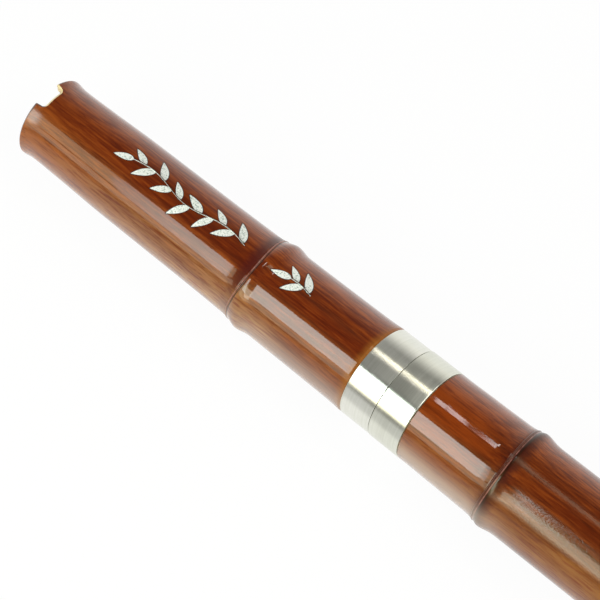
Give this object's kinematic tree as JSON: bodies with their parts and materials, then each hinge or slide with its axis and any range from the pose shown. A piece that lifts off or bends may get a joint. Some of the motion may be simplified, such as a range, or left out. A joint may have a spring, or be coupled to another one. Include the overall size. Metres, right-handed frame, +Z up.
{
  "type": "shakuhachi",
  "caption": "End-blown bamboo flute in two sections, with a notched mouth, finger holes and a twist-and-pull metal joint near the mouth end.",
  "frame": {"origin": "on the surface that the flute lies on, under the middle of its length", "axes": "+X runs from the mouth to the foot, +Z points up through the notch and the front finger holes, +Y to the flute's side"},
  "size_m": [0.545, 0.0334, 0.0334],
  "materials": {
    "lacquered_bamboo": "glossy red-brown lacquer over bamboo with fine lengthwise fibres",
    "nickel_silver": "nickel silver, finely brushed around the ring",
    "sleeve_brass": "turned and polished",
    "seal_rubber": "soft black rubber"
  },
  "bodies": {
    "lower_section": {"lower_bamboo": "lacquered_bamboo", "lower_ferrule": "nickel_silver", "socket_sleeve": "sleeve_brass"},
    "seal_rings": {"front_seal_ring": "seal_rubber", "rear_seal_ring": "seal_rubber"},
    "upper_section": {"upper_bamboo": "lacquered_bamboo", "upper_ferrule": "nickel_silver", "tenon_sleeve": "sleeve_brass"}
  },
  "joints": [
    {"name": "tenon_pull", "type": "slide", "parent": "lower_section", "child": "seal_rings", "axis": [-1, 0, 0], "range_m": [0, 0.025]},
    {"name": "section_twist", "type": "hinge", "parent": "seal_rings", "child": "upper_section", "pos_m": [-0.1308, 0, 0.0167], "axis": [1, 0, 0], "continuous": true}
  ]
}
